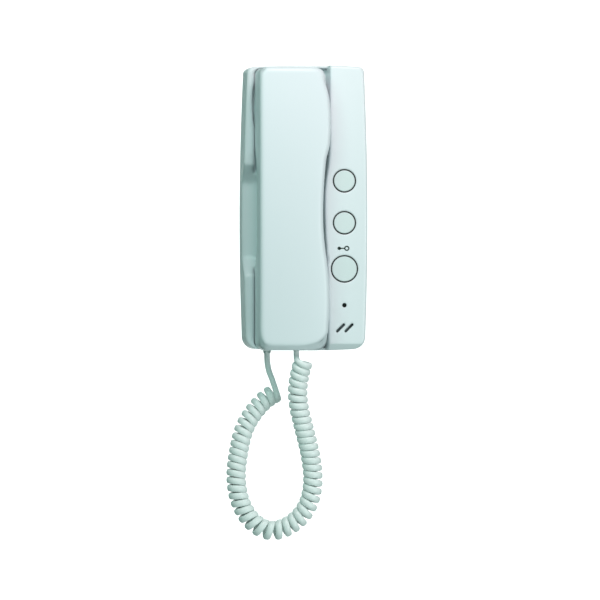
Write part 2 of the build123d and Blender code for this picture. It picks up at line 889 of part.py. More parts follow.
terminal_board_z = (terminal_board_top_z + terminal_board_low_z) / 2
post_x_spacing = terminal_board_width - post_inset * 2
post_z_spacing = terminal_board_top_z - terminal_board_low_z - post_inset * 2

with BuildPart() as terminal_board:
    with BuildSketch(front_plane(terminal_board_depth)):
        with Locations((terminal_board_x, terminal_board_z)):
            Rectangle(terminal_board_width, terminal_board_top_z - terminal_board_low_z)
            with GridLocations(post_x_spacing, post_z_spacing, 2, 2):
                Circle(board_screw_r + hole_play, mode=Mode.SUBTRACT)
    extrude(amount=board_thick)
terminal_board.part.label = "terminal_board"
export_step(terminal_board.part, "parts/terminal_board.step")

with BuildPart() as terminal_board_screws:
    with BuildSketch(front_plane(terminal_board_front)):
        with Locations((terminal_board_x, terminal_board_z)):
            with GridLocations(post_x_spacing, post_z_spacing, 2, 2):
                Circle(board_head_r)
    extrude(amount=board_head_height)
    with BuildSketch(front_plane(rear_floor_depth)):
        with Locations((terminal_board_x, terminal_board_z)):
            with GridLocations(post_x_spacing, post_z_spacing, 2, 2):
                Circle(board_screw_r)
    extrude(amount=terminal_board_front - rear_floor_depth)
terminal_board_screws.part.label = "terminal_board_screws"
export_step(terminal_board_screws.part, "parts/terminal_board_screws.step")

with BuildPart() as terminal_block:
    with BuildSketch(front_plane(terminal_board_depth - terminal_proud)):
        Rectangle(terminal_width, terminal_height)
    extrude(amount=terminal_proud)
    with BuildSketch(front_plane(terminal_board_depth - terminal_proud)):
        with Locations((0, terminal_screw_z)):
            with GridLocations(terminal_pitch, terminal_pitch, terminal_count, 1):
                Circle(terminal_screw_r + slide_play)
    extrude(amount=terminal_screw_height * 2, mode=Mode.SUBTRACT)
    with BuildSketch(front_plane(terminal_board_depth - terminal_proud)):
        with Locations((0, wire_hole_z)):
            with GridLocations(terminal_pitch, terminal_pitch, terminal_count, 1):
                Rectangle(wire_hole_size, wire_hole_size)
    extrude(amount=terminal_proud - board_thick, mode=Mode.SUBTRACT)
terminal_block.part.label = "terminal_block"
export_step(terminal_block.part, "parts/terminal_block.step")

with BuildPart() as terminal_screws:
    with BuildSketch(front_plane(terminal_board_depth - terminal_proud + terminal_screw_height)):
        with Locations((0, terminal_screw_z)):
            with GridLocations(terminal_pitch, terminal_pitch, terminal_count, 1):
                Circle(terminal_screw_r)
    extrude(amount=terminal_screw_height)
terminal_screws.part.label = "terminal_screws"
export_step(terminal_screws.part, "parts/terminal_screws.step")

plunger_tip_depth = head_depth - rest_gap
plunger_flange_depth = floor_inner_depth - plunger_travel - plunger_flange_height
with BuildPart() as hook_switch:
    with BuildSketch(front_plane(terminal_board_front)):
        with Locations((head_x, hook_z)):
            Rectangle(hook_switch_size, hook_switch_size)
    extrude(amount=plunger_flange_depth - rest_gap - terminal_board_front)
hook_switch.part.label = "hook_switch"
export_step(hook_switch.part, "parts/hook_switch.step")

with BuildPart() as hook_plunger:
    with BuildSketch(front_plane(plunger_flange_depth)):
        with Locations((head_x, hook_z)):
            Circle(plunger_flange_r)
    extrude(amount=plunger_flange_height)
    with BuildSketch(front_plane(plunger_flange_depth)):
        with Locations((head_x, hook_z)):
            Circle(plunger_r)
    extrude(amount=plunger_tip_depth - plunger_flange_depth)
    chamfer(hook_plunger.faces().sort_by(Axis.Y)[0].edges(), length=plunger_tip_edge)
hook_plunger.part.label = "hook_plunger"
export_step(hook_plunger.part, "parts/hook_plunger.step")

# Handset: one blank and one hollow, split into a front and a back shell

with BuildPart() as handset_blank:
    with BuildSketch(front_plane(0)):
        add(handset_outline(0))
    extrude(amount=handset_front_depth + overrun)
    with BuildSketch(Plane.YZ.offset(-body_width)):
        add(handset_side.sketch)
    extrude(amount=body_width * 2, mode=Mode.INTERSECT)
    fillet(handset_blank.faces().sort_by(Axis.Y)[0].edges(), radius=front_round_r)
    back_faces = [face for face in handset_blank.faces() if face.normal_at().Y > back_facing_share]
    back_edges = [edge for face in back_faces for edge in face.edges()]
    rim_edges = [edge for edge in back_edges if sum(edge.is_same(other) for other in back_edges) == 1]
    fillet(rim_edges, radius=back_round_r)

with BuildPart() as handset_hollow:
    with BuildSketch(front_plane(0)):
        add(handset_outline(handset_wall))
    extrude(amount=handset_front_depth + overrun)
    with BuildSketch(Plane.YZ.offset(-body_width)):
        add(handset_side.sketch)
        offset(amount=-handset_wall)
    extrude(amount=body_width * 2, mode=Mode.INTERSECT)

with BuildSketch() as handset_core:
    add(handset_outline(parting_groove))

with BuildPart() as handset_front_shell:
    add(handset_blank.part)
    split(bisect_by=front_plane(handset_parting), keep=Keep.TOP)
    add(handset_hollow.part, mode=Mode.SUBTRACT)
    with BuildSketch(front_plane(handset_boss_depth)):
        with Locations(*handset_screw_places):
            Circle(handset_boss_r)
    extrude(amount=handset_front_depth - handset_wall - handset_boss_depth)
    with BuildSketch(front_plane(handset_boss_depth)):
        with Locations(*handset_screw_places):
            Circle(case_screw_r + pilot_play)
    extrude(amount=case_screw_length, mode=Mode.SUBTRACT)
handset_front_shell.part.label = "handset_front_shell"
export_step(handset_front_shell.part, "parts/handset_front_shell.step")

with BuildPart() as handset_back_shell:
    add(handset_blank.part)
    split(bisect_by=front_plane(handset_parting), keep=Keep.BOTTOM)
    add(handset_hollow.part, mode=Mode.SUBTRACT)
    # a fine groove shows where the shells meet
    with BuildSketch(front_plane(handset_parting - parting_groove)):
        Rectangle(body_width * 2, body_height * 2)
        add(handset_core.sketch, mode=Mode.SUBTRACT)
    extrude(amount=parting_groove, mode=Mode.SUBTRACT)
    # pads that lie on the cradle's seats
    with BuildSketch(front_plane(pad_depth)):
        with Locations((head_x, ear_z)):
            Circle(ear_pad_r)
        with Locations((head_x, mouth_z)):
            Circle(mouth_pad_r)
    extrude(amount=head_depth - pad_depth + handset_wall)
    chamfer(handset_back_shell.faces().sort_by(Axis.Y)[-2:].edges(), length=pad_edge)
    # shallow dishes with sloping walls
    for dish_z, dish_r, dish_depth in [
        (ear_z, ear_dish_r, ear_dish_depth),
        (mouth_z, mouth_dish_r, mouth_dish_depth),
    ]:
        with BuildSketch(front_plane(pad_depth)):
            with Locations((head_x, dish_z)):
                Circle(dish_r)
        extrude(amount=dish_depth, taper=dish_taper, mode=Mode.SUBTRACT)
    # rings that hold the receiver and the microphone's boot
    with BuildSketch(front_plane(head_depth + handset_wall)):
        with Locations((head_x, ear_z)):
            Circle(receiver_r + slide_play + holder_wall)
            Circle(receiver_r + slide_play, mode=Mode.SUBTRACT)
    extrude(amount=holder_height)
    with BuildSketch(front_plane(head_depth + handset_wall)):
        with Locations((head_x, mouth_z)):
            Circle(microphone_r + boot_wall + slide_play + holder_wall)
            Circle(microphone_r + boot_wall + slide_play, mode=Mode.SUBTRACT)
    extrude(amount=holder_height)
    with BuildSketch(front_plane(pad_depth)):
        for hole_z, dish_r, rings in [
            (ear_z, ear_dish_r, ear_ring_shares),
            (mouth_z, mouth_dish_r, mouth_ring_shares),
        ]:
            with Locations((head_x, hole_z)):
                Circle(sound_hole_r)
                for hole_count, ring_share in rings:
                    with PolarLocations(dish_r * ring_share, hole_count):
                        Circle(sound_hole_r)
    extrude(amount=head_depth - pad_depth + handset_wall + overrun, mode=Mode.SUBTRACT)
    # sunk screw seats in the grip
    with BuildSketch(front_plane(grip_depth + handset_wall / 2)):
        with Locations(*handset_screw_places):
            Circle(handset_boss_r + hole_play * 2)
    extrude(amount=handset_boss_depth - grip_depth - handset_wall / 2)
    with BuildSketch(front_plane(grip_depth)):
        with Locations(*handset_screw_places):
            Circle(case_head_r + hole_play)
    extrude(amount=handset_sink, mode=Mode.SUBTRACT)
    with BuildSketch(front_plane(grip_depth)):
        with Locations(*handset_screw_places):
            Circle(case_screw_r + hole_play)
    extrude(amount=handset_parting - grip_depth, mode=Mode.SUBTRACT)
    # the cord plug's doorway
    with BuildSketch(Plane.XY.offset(-body_height)):
        with Locations((handset_socket_x, -handset_socket_depth)):
            Rectangle(plug_width + door_play * 2, plug_height + door_play * 2)
    extrude(amount=body_height + handset_socket_mouth_z + loose_play, mode=Mode.SUBTRACT)
handset_back_shell.part.label = "handset_back_shell"
export_step(handset_back_shell.part, "parts/handset_back_shell.step")

with BuildPart() as handset_screws:
    with BuildSketch(front_plane(grip_depth + handset_sink - case_head_height)):
        with Locations(*handset_screw_places):
            Circle(case_head_r)
    extrude(amount=case_head_height)
    with BuildSketch(front_plane(grip_depth + handset_sink)):
        with Locations(*handset_screw_places):
            Circle(case_screw_r)
    extrude(amount=case_screw_length)
    with BuildSketch(front_plane(grip_depth + handset_sink - case_head_height)):
        with Locations(*handset_screw_places):
            Rectangle(case_head_r * recess_share * 2, cross_width)
            Rectangle(cross_width, case_head_r * recess_share * 2)
    extrude(amount=case_head_height * recess_share, mode=Mode.SUBTRACT)
handset_screws.part.label = "handset_screws"
export_step(handset_screws.part, "parts/handset_screws.step")

# What the handset holds

with BuildPart() as receiver_gasket:
    with BuildSketch(front_plane(head_depth + handset_wall)):
        with Locations((head_x, ear_z)):
            Circle(receiver_r)
            Circle(receiver_r - receiver_gasket_width, mode=Mode.SUBTRACT)
    extrude(amount=receiver_gasket_height)
receiver_gasket.part.label = "receiver_gasket"
export_step(receiver_gasket.part, "parts/receiver_gasket.step")

with BuildPart() as receiver_capsule:
    with BuildSketch(front_plane(head_depth + handset_wall + receiver_gasket_height)):
        with Locations((head_x, ear_z)):
            Circle(receiver_r)
    extrude(amount=receiver_height)
    chamfer(receiver_capsule.faces().sort_by(Axis.Y)[0].edges(), length=receiver_gasket_height)
    with BuildSketch(front_plane(head_depth + handset_wall + receiver_gasket_height + receiver_height)):
        with Locations((head_x, ear_z)):
            Circle(receiver_magnet_r)
    extrude(amount=receiver_magnet_height)
receiver_capsule.part.label = "receiver_capsule"
export_step(receiver_capsule.part, "parts/receiver_capsule.step")

with BuildPart() as microphone_boot:
    with BuildSketch(front_plane(head_depth + handset_wall)):
        with Locations((head_x, mouth_z)):
            Circle(microphone_r + boot_wall)
            Circle(microphone_r, mode=Mode.SUBTRACT)
    extrude(amount=microphone_height)
microphone_boot.part.label = "microphone_boot"
export_step(microphone_boot.part, "parts/microphone_boot.step")

with BuildPart() as microphone_capsule:
    with BuildSketch(front_plane(head_depth + handset_wall)):
        with Locations((head_x, mouth_z)):
            Circle(microphone_r)
    extrude(amount=microphone_height)
microphone_capsule.part.label = "microphone_capsule"
export_step(microphone_capsule.part, "parts/microphone_capsule.step")

# Modular sockets, with the plug's tongue to the rear, and the plugs


def modular_socket(x, depth, mouth_z):
    with BuildPart() as socket:
        with BuildSketch(Plane.XY.offset(mouth_z)):
            with Locations((x, -depth)):
                Rectangle(socket_width, socket_height)
        extrude(amount=socket_length)
        with BuildSketch(Plane.XY.offset(mouth_z)):
            with Locations((x, -depth)):
                Rectangle(plug_width + plug_play * 2, plug_height + plug_play * 2)
            with Locations((x, plug_height / 2 - depth + socket_tongue_height / 2)):
                Rectangle(socket_tongue_width + plug_play * 2, socket_tongue_height + plug_play * 2)
        extrude(amount=plug_length + plug_play, mode=Mode.SUBTRACT)
    return socket.part


def modular_plug(x, depth, mouth_z, end_z):
    with BuildPart() as plug:
        with BuildSketch(Plane.XY.offset(end_z)):
            with Locations((x, -depth)):
                Rectangle(plug_width, plug_height)
        extrude(amount=mouth_z + plug_length - end_z)
        chamfer(plug.faces().sort_by(Axis.Z)[-1].edges(), length=plug_edge)
        with BuildSketch(Plane.XY.offset(mouth_z + plug_edge)):
            with Locations((x, plug_height / 2 - depth + socket_tongue_height / 2)):
                Rectangle(socket_tongue_width, socket_tongue_height)
        extrude(amount=plug_length - plug_edge * 3)
        # slits with the contact blades, at the tip
        with BuildSketch(Plane.XY.offset(mouth_z + plug_length - plug_contact_length)):
            with Locations((x, -depth - plug_height / 2)):
                with GridLocations(plug_contact_pitch, plug_contact_pitch, plug_contact_count, 1):
                    Rectangle(plug_contact_width, plug_contact_depth * 2)
        extrude(amount=plug_contact_length, mode=Mode.SUBTRACT)
        with BuildSketch(Plane.XY.offset(end_z)):
            with Locations((x, -depth)):
                Circle(plug_neck_r)
        with BuildSketch(Plane.XY.offset(end_z - plug_neck_length)):
            with Locations((x, -depth)):
                Circle((plug_neck_r + cord_d / 2) / 2)
        loft()
    return plug.part


with BuildPart() as base_socket:
    add(modular_socket(base_socket_x, base_socket_depth, base_socket_mouth_z))
base_socket.part.label = "base_socket"
export_step(base_socket.part, "parts/base_socket.step")

with BuildPart() as handset_socket:
    add(modular_socket(handset_socket_x, handset_socket_depth, handset_socket_mouth_z))
handset_socket.part.label = "handset_socket"
export_step(handset_socket.part, "parts/handset_socket.step")

with BuildPart() as base_plug:
    add(modular_plug(base_socket_x, base_socket_depth, base_socket_mouth_z, base_plug_end_z))
base_plug.part.label = "base_plug"
export_step(base_plug.part, "parts/base_plug.step")

with BuildPart() as handset_plug:
    add(modular_plug(handset_socket_x, handset_socket_depth, handset_socket_mouth_z, handset_plug_end_z))
handset_plug.part.label = "handset_plug"
export_step(handset_plug.part, "parts/handset_plug.step")

# Curly cord: the strand winds round a smooth axis, counter to a right-hand screw


def place(x, depth, z):
    return Vector(x, -depth, z)


def smooth_line(control):
    # parabolas between the middles of the legs, which meet without a kink
    line = [control[0]]
    for i in range(1, len(control) - 1):
        first = control[0] if i == 1 else (control[i - 1] + control[i]) / 2
        last = control[-1] if i == len(control) - 2 else (control[i] + control[i + 1]) / 2
        for step in range(1, axis_steps + 1):
            t = step / axis_steps
            line.append(first * (1 - t) ** 2 + control[i] * 2 * t * (1 - t) + last * t**2)
    return line


axis_line = smooth_line([place(*point) for point in curl_axis_points])
axis_reach = [0.0]
for before, after in zip(axis_line, axis_line[1:]):
    axis_reach.append(axis_reach[-1] + (after - before).length)
axis_length = axis_reach[-1]


def axis_at(share):
    reach = min(max(share, 0), 1) * axis_length
    k = 1
    while k < len(axis_reach) - 1 and axis_reach[k] < reach:
        k += 1
    part_of_leg = (reach - axis_reach[k - 1]) / (axis_reach[k] - axis_reach[k - 1])
    return axis_line[k - 1] + (axis_line[k] - axis_line[k - 1]) * part_of_leg


def axis_way(share, look):
    return (axis_at(share + look) - axis_at(share - look)).normalized()


# the turns lie apart by their inner sides, so fewer of them fit where the axis bends
look_share = curl_bend_look / axis_length
turn_table = [0.0]
for k in range(turn_samples):
    share = (k + 0.5) / turn_samples
    bend = axis_way(share + look_share, look_share) - axis_way(share - look_share, look_share)
    turn_table.append(turn_table[-1] + 1 - curl_r * bend.length / (curl_bend_look * 2))


def turned_at(share):
    k = min(int(share * turn_samples), turn_samples - 1)
    reach = turn_table[k] + (turn_table[k + 1] - turn_table[k]) * (share * turn_samples - k)
    return reach / turn_table[-1]


def strand_at(share):
    ahead = axis_way(share, axis_look_share)
    front = Vector(0, -1, 0)
    front = (front - ahead * front.dot(ahead)).normalized()
    side = front.cross(ahead)
    span = curl_turns * 360 + curl_end_angle - curl_start_angle
    angle = math.radians(curl_start_angle + span * turned_at(share))
    return axis_at(share) + front * (curl_r * math.cos(angle)) + side * (curl_r * math.sin(angle))


def strand_direction(share):
    low = max(share - strand_look_share, 0)
    high = min(share + strand_look_share, 1)
    return (strand_at(high) - strand_at(low)).normalized()


def arc_radius(start, way, end):
    chord = end - start
    across = (chord - way * chord.dot(way)).length
    return chord.dot(chord) / (2 * across)


strand_start = strand_at(0)
strand_start_way = strand_direction(0)
coil_start = strand_start - strand_start_way * cord_d
coil_end = place(handset_socket_x, handset_socket_depth, handset_bottom_z)
up = Vector(0, 0, 1)
half_turns = curl_turns * 2
knots = [(strand_at(i / half_turns), strand_direction(i / half_turns)) for i in range(half_turns + 1)]
knots.append((coil_end - up * cord_d, up))
arc_radii = []
for (start, start_way), (end, end_way) in zip(knots, knots[1:]):
    joint, joint_way = biarc(start, start_way, end, end_way)
    arc_radii += [arc_radius(start, start_way, joint), arc_radius(joint, joint_way, end)]

with BuildLine() as curl_path:
    Line(coil_start, strand_start)
    arc_chain(knots)
    Line(knots[-1][0], coil_end)

curl_wire = curl_path.wire()

with BuildPart() as cord_curls:
    with BuildSketch(Plane(origin=coil_start, z_dir=strand_start_way)):
        RegularPolygon(cord_d / 2, cord_sides)
    sweep(path=curl_wire, clean=False)
cord_curls.part.label = "cord_curls"
export_step(cord_curls.part, "parts/cord_curls.step")

# The straight lead, from the base's plug to the first curl: straight runs joined by tangent arcs

lead_route = [place(*point) for point in lead_points]
lead_route += [coil_start - strand_start_way * lead_last_run, coil_start]
lead_radii = []
for before, corner, after in zip(lead_route, lead_route[1:], lead_route[2:]):
    shorter = min((corner - before).length, (after - corner).length)
    half_turn = math.radians((corner - before).get_angle(after - corner) / 2)
    lead_radii.append(run_share * shorter / math.tan(half_turn))

with BuildLine() as lead_path:
    FilletPolyline(*lead_route, radius=lead_radii)
lead_wire = lead_path.wire()

with BuildPart() as cord_lead:
    with BuildSketch(Plane(origin=lead_route[0], z_dir=lead_route[1] - lead_route[0])):
        RegularPolygon(cord_d / 2, cord_sides)
    sweep(path=lead_wire)
cord_lead.part.label = "cord_lead"
export_step(cord_lead.part, "parts/cord_lead.step")

# What the cord measures

checked = [curl_wire.position_at(i / gap_samples) for i in range(gap_samples + 1)]
sample_step = curl_wire.length / gap_samples
half_turn_samples = int(math.pi * curl_r / sample_step)
least_gap = min(
    (checked[i] - checked[j]).length
    for i in range(len(checked))
    for j in range(i + half_turn_samples, min(i + half_turn_samples * 4, len(checked)))
)
print("least gap of the curls:", round(least_gap - cord_d, 2))
print("tightest arc of the curls:", round(min(arc_radii), 2))
print("lead radii:", [round(r, 1) for r in lead_radii])
print("lead length:", round(lead_wire.length, 1), "curls:", round(curl_wire.length, 1))
section = cord_sides / 2 * (cord_d / 2) ** 2 * math.sin(2 * math.pi / cord_sides)
print("lead volume share:", round(cord_lead.part.volume / (section * lead_wire.length), 4))
print("curl volume share:", round(cord_curls.part.volume / (section * curl_wire.length), 4))
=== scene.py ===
import json
import math
from bisect import bisect_left

import bmesh
import bpy
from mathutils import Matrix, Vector, kdtree


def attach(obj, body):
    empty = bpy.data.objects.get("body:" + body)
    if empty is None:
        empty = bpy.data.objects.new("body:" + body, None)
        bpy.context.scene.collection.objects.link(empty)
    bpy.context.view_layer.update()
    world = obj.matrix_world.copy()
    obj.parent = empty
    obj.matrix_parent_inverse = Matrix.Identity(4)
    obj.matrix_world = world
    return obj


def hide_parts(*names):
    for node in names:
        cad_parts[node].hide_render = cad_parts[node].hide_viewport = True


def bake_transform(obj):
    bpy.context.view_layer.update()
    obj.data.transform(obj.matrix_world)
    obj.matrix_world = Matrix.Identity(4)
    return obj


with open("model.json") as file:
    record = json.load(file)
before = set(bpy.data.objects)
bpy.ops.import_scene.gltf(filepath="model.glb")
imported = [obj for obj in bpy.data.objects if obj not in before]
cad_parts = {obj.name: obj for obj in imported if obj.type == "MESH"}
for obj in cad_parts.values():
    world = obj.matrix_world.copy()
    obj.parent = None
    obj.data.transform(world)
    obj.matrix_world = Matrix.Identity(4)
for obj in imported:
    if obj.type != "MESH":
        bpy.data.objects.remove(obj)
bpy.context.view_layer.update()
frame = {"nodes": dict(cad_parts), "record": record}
nodes = frame["nodes"]
print("frame loaded:", len(nodes), "CAD nodes")

# All sizes below are in millimetres unless a note says otherwise, and become metres where they are used


def hexColour(text):
    # sRGB hex to the linear colour that the shaders take
    parts = [int(text[i : i + 2], 16) / 255 for i in (1, 3, 5)]
    return [c / 12.92 if c <= 0.04045 else ((c + 0.055) / 1.055) ** 2.4 for c in parts] + [1]


def place(x, depth, z):
    # a point by its X, its distance from the wall and its height
    return Vector((x / 1000, -depth / 1000, z / 1000))


def addToScene(name, data):
    thing = bpy.data.objects.new(name, data)
    bpy.context.scene.collection.objects.link(thing)
    return thing


def faceAlong(thing, direction):
    # turns a camera or a lamp to look that way
    thing.rotation_mode = "QUATERNION"
    thing.rotation_quaternion = direction.to_track_quat("-Z", "Y")


def shadeSmooth(mesh):
    for polygon in mesh.polygons:
        polygon.use_smooth = True


# Camera: a long lens a little to the left of the front, level with the middle of the picture

cameraFacts = {
    "azimuth": -8.0,  # degrees
    "lens": 300.0,
    "pictureWidth": 433.9,  # what the picture shows at the distance of the point looked at
    "lookAt": (-2.5, 20.0, -66.3),
    "farthest": 20000,
}
azimuth = math.radians(cameraFacts["azimuth"])
cameraData = bpy.data.cameras.new("camera")
cameraData.lens = cameraFacts["lens"]
cameraData.clip_end = cameraFacts["farthest"] / 1000
distance = cameraFacts["pictureWidth"] / 1000 * cameraFacts["lens"] / cameraData.sensor_width
away = Vector((math.sin(azimuth), -math.cos(azimuth), 0))
aim = place(*cameraFacts["lookAt"])
camera = addToScene("camera", cameraData)
camera.location = aim + away * distance
faceAlong(camera, -away)
bpy.context.scene.camera = camera
print("camera placed", round(distance, 3), "m away")

# Studio: a large key lamp, a cooler fill, small lamps above and below, and a pale green surrounding

lamps = {
    "key": {"place": (700, 1050, -60), "size": 400, "power": 3.0, "colour": "#FAFEFF"},
    "fill": {"place": (-400, 620, 440), "size": 420, "power": 2.3, "colour": "#C6F2E8"},
    "top": {"place": (20, 360, 350), "size": 200, "power": 1.03, "colour": "#FFE8EE"},
    "low": {"place": (150, 380, -430), "size": 260, "power": 0.58, "colour": "#E6F5F3"},
}
surrounding = {"colour": "#BFE5DC", "strength": 0.3}


def hangLamp(name, facts):
    data = bpy.data.lights.new(name, "AREA")
    data.size = facts["size"] / 1000
    data.energy = facts["power"]  # watts
    data.color = hexColour(facts["colour"])[:3]
    lamp = addToScene(name, data)
    lamp.location = place(*facts["place"])
    faceAlong(lamp, aim - lamp.location)


for lampName, lampFacts in lamps.items():
    hangLamp(lampName, lampFacts)

world = bpy.data.worlds.new("studioWorld")
world.use_nodes = True
background = world.node_tree.nodes["Background"]
background.inputs["Color"].default_value = hexColour(surrounding["colour"])
background.inputs["Strength"].default_value = surrounding["strength"]
bpy.context.scene.world = world

# Sweep: one bent sheet of paper, the backdrop and the floor of the studio, far behind the station

sweepFacts = {
    "left": -160,
    "right": 550,
    "front": 350,  # front and back lie this far behind the wall's plane
    "back": 1300,
    "floor": -800,
    "height": 2200,
    "bend": 400,
    "bendSteps": 12,
    "glowsAbove": -480,  # so that it stays white behind the whole station and its cord
}


def newMesh(name, points, faces):
    mesh = bpy.data.meshes.new(name)
    mesh.from_pydata([tuple(p) for p in points], [], faces)
    mesh.update()
    return addToScene(name, mesh)


def makeSweep():
    back, floor, bend = sweepFacts["back"], sweepFacts["floor"], sweepFacts["bend"]
    steps = sweepFacts["bendSteps"]
    profile = [(sweepFacts["front"], floor), (back - bend, floor)]
    for step in range(1, steps):
        turn = math.radians(90 * step / steps)
        profile.append((back - bend + bend * math.sin(turn), floor + bend - bend * math.cos(turn)))
    profile.append((back, floor + sweepFacts["height"]))
    points = []
    for y, z in profile:
        points += [place(sweepFacts["left"], -y, z), place(sweepFacts["right"], -y, z)]
    faces = [(2 * i, 2 * i + 1, 2 * i + 3, 2 * i + 2) for i in range(len(profile) - 1)]
    sheet = newMesh("sweep", points, faces)
    shadeSmooth(sheet.data)
    return sheet


sweep = makeSweep()
bpy.context.scene.view_settings.view_transform = "Standard"
print("studio set")


def addNode(tree, kind, settings=None, inputs=None, links=None):
    node = tree.nodes.new(kind)
    for name, value in (settings or {}).items():
        setattr(node, name, value)
    for name, value in (inputs or {}).items():
        node.inputs[name].default_value = value
    for name, source in (links or {}).items():
        tree.links.new(source, node.inputs[name])
    return node


def startMaterial(name, facts):
    # a principled surface with its plain values; the finish's own pattern is added after this
    material = bpy.data.materials.new(name)
    material.use_nodes = True
    tree = material.node_tree
    surface = tree.nodes["Principled BSDF"]
    surface.inputs["Base Color"].default_value = hexColour(facts["colour"])
    surface.inputs["Roughness"].default_value = facts["roughness"]
    surface.inputs["Metallic"].default_value = facts.get("metallic", 0)
    surface.inputs["IOR"].default_value = facts.get("ior", 1.5)  # 1.5 is the shader's own value
    coordinates = addNode(tree, "ShaderNodeTexCoord").outputs["Object"]
    return material, tree, surface, coordinates


def addRelief(tree, surface, coordinates, height, facts):
    # fine relief from a pattern's height, laid over edges that look as soft as their mould leaves them
    relief = addNode(
        tree,
        "ShaderNodeBump",
        inputs={"Strength": facts["bump"], "Distance": facts["grainDepth"] / 1000},
        links={"Height": height},
    )
    tree.links.new(relief.outputs["Normal"], surface.inputs["Normal"])
    if "softEdge" in facts:
        rounded = addNode(
            tree, "ShaderNodeBevel", settings={"samples": 8}, inputs={"Radius": facts["softEdge"] / 1000}
        )
        tree.links.new(rounded.outputs["Normal"], relief.inputs["Normal"])
    if "cheekEdge" in facts:
        # the left cheek is rounded more than the rest of the case, and the change lies between two X
        cheekEnd, caseStart = facts["cheekEnds"]
        across = addNode(tree, "ShaderNodeSeparateXYZ", links={"Vector": coordinates})
        radius = addNode(
            tree,
            "ShaderNodeMapRange",
            inputs={
                "From Min": cheekEnd / 1000,
                "From Max": caseStart / 1000,
                "To Min": facts["cheekEdge"] / 1000,
                "To Max": facts["softEdge"] / 1000,
            },
            links={"Value": across.outputs["X"]},
        )
        tree.links.new(radius.outputs["Result"], rounded.inputs["Radius"])


glossFacts = {
    "flowLow": 0.3,  # nearly all of the noise that stands for the melt's flow lies between these two
    "flowHigh": 0.7,
    "moulded": (-0.04, 0.05),  # how far the roughness goes below and above its middle value
    "plated": (-0.08, 0.12),
}


def mouldedPlastic(name, facts):
    # plastic from a mould, and what has a grain like it: a spark-eroded tool leaves a satin with tiny
    # dimples, and the melt's flow leaves faint broad changes of tone and gloss
    material, tree, surface, coordinates = startMaterial(name, facts)
    grain = addNode(
        tree,
        "ShaderNodeTexNoise",
        inputs={"Scale": 1000 / facts["grain"], "Detail": 3.0, "Roughness": 0.6},
        links={"Vector": coordinates},
    )
    addRelief(tree, surface, coordinates, grain.outputs["Fac"], facts)
    flow = addNode(
        tree,
        "ShaderNodeTexNoise",
        inputs={"Scale": 1000 / facts["flow"], "Detail": 2.0},
        links={"Vector": coordinates},
    )
    tone = addNode(
        tree,
        "ShaderNodeMix",
        settings={"data_type": "RGBA"},
        inputs={"A": hexColour(facts["colour"]), "B": hexColour(facts["shade"])},
        links={"Factor": flow.outputs["Fac"]},
    )
    tree.links.new(tone.outputs["Result"], surface.inputs["Base Color"])
    smoother, rougher = glossFacts["moulded"]
    gloss = addNode(
        tree,
        "ShaderNodeMapRange",
        inputs={
            "From Min": glossFacts["flowLow"],
            "From Max": glossFacts["flowHigh"],
            "To Min": facts["roughness"] + smoother,
            "To Max": facts["roughness"] + rougher,
        },
        links={"Value": flow.outputs["Fac"]},
    )
    tree.links.new(gloss.outputs["Result"], surface.inputs["Roughness"])
    return material


def turnedMetal(name, facts):
    # small stamped or turned steel parts: soft streaks under a slightly uneven gloss
    material, tree, surface, coordinates = startMaterial(name, facts)
    streaks = addNode(
        tree,
        "ShaderNodeTexNoise",
        inputs={"Scale": 1000 / facts["grain"], "Detail": 4.0},
        links={"Vector": coordinates},
    )
    addRelief(tree, surface, coordinates, streaks.outputs["Fac"], facts)
    smoother, rougher = glossFacts["plated"]
    gloss = addNode(
        tree,
        "ShaderNodeMapRange",
        inputs={"To Min": facts["roughness"] + smoother, "To Max": facts["roughness"] + rougher},
        links={"Value": streaks.outputs["Fac"]},
    )
    tree.links.new(gloss.outputs["Result"], surface.inputs["Roughness"])
    return material


def lacqueredLaminate(name, facts):
    # woven glass under lacquer: small squares in relief, and patches where the lacquer lies thicker
    material, tree, surface, coordinates = startMaterial(name, facts)
    weave = addNode(
        tree,
        "ShaderNodeTexChecker",
        inputs={"Scale": 1000 / facts["grain"]},
        links={"Vector": coordinates},
    )
    addRelief(tree, surface, coordinates, weave.outputs["Fac"], facts)
    patches = addNode(
        tree, "ShaderNodeTexNoise", inputs={"Scale": 1000 / facts["flow"]}, links={"Vector": coordinates}
    )
    tone = addNode(
        tree,
        "ShaderNodeMix",
        settings={"data_type": "RGBA"},
        inputs={"A": hexColour(facts["colour"]), "B": hexColour(facts["shade"])},
        links={"Factor": patches.outputs["Fac"]},
    )
    tree.links.new(tone.outputs["Result"], surface.inputs["Base Color"])
    return material


def clearPlastic(name, facts):
    # clear and glossy, with a few flow marks
    material, tree, surface, coordinates = startMaterial(name, facts)
    surface.inputs["Transmission Weight"].default_value = facts["clearness"]
    marks = addNode(
        tree, "ShaderNodeTexNoise", inputs={"Scale": 1000 / facts["flow"]}, links={"Vector": coordinates}
    )
    addRelief(tree, surface, coordinates, marks.outputs["Fac"], facts)
    return material


def studioPaper(name, facts):
    # matt paper with a faint tooth of fibres, with a glow where it has to stay white in the picture
    material, tree, surface, coordinates = startMaterial(name, facts)
    surface.inputs["Emission Color"].default_value = hexColour(facts["colour"])
    surface.inputs["Emission Strength"].default_value = facts["glow"]
    fibres = addNode(
        tree,
        "ShaderNodeTexNoise",
        inputs={"Scale": facts["fibresPerMetre"], "Detail": 3.0},
        links={"Vector": coordinates},
    )
    addRelief(tree, surface, coordinates, fibres.outputs["Fac"], facts)
    return material


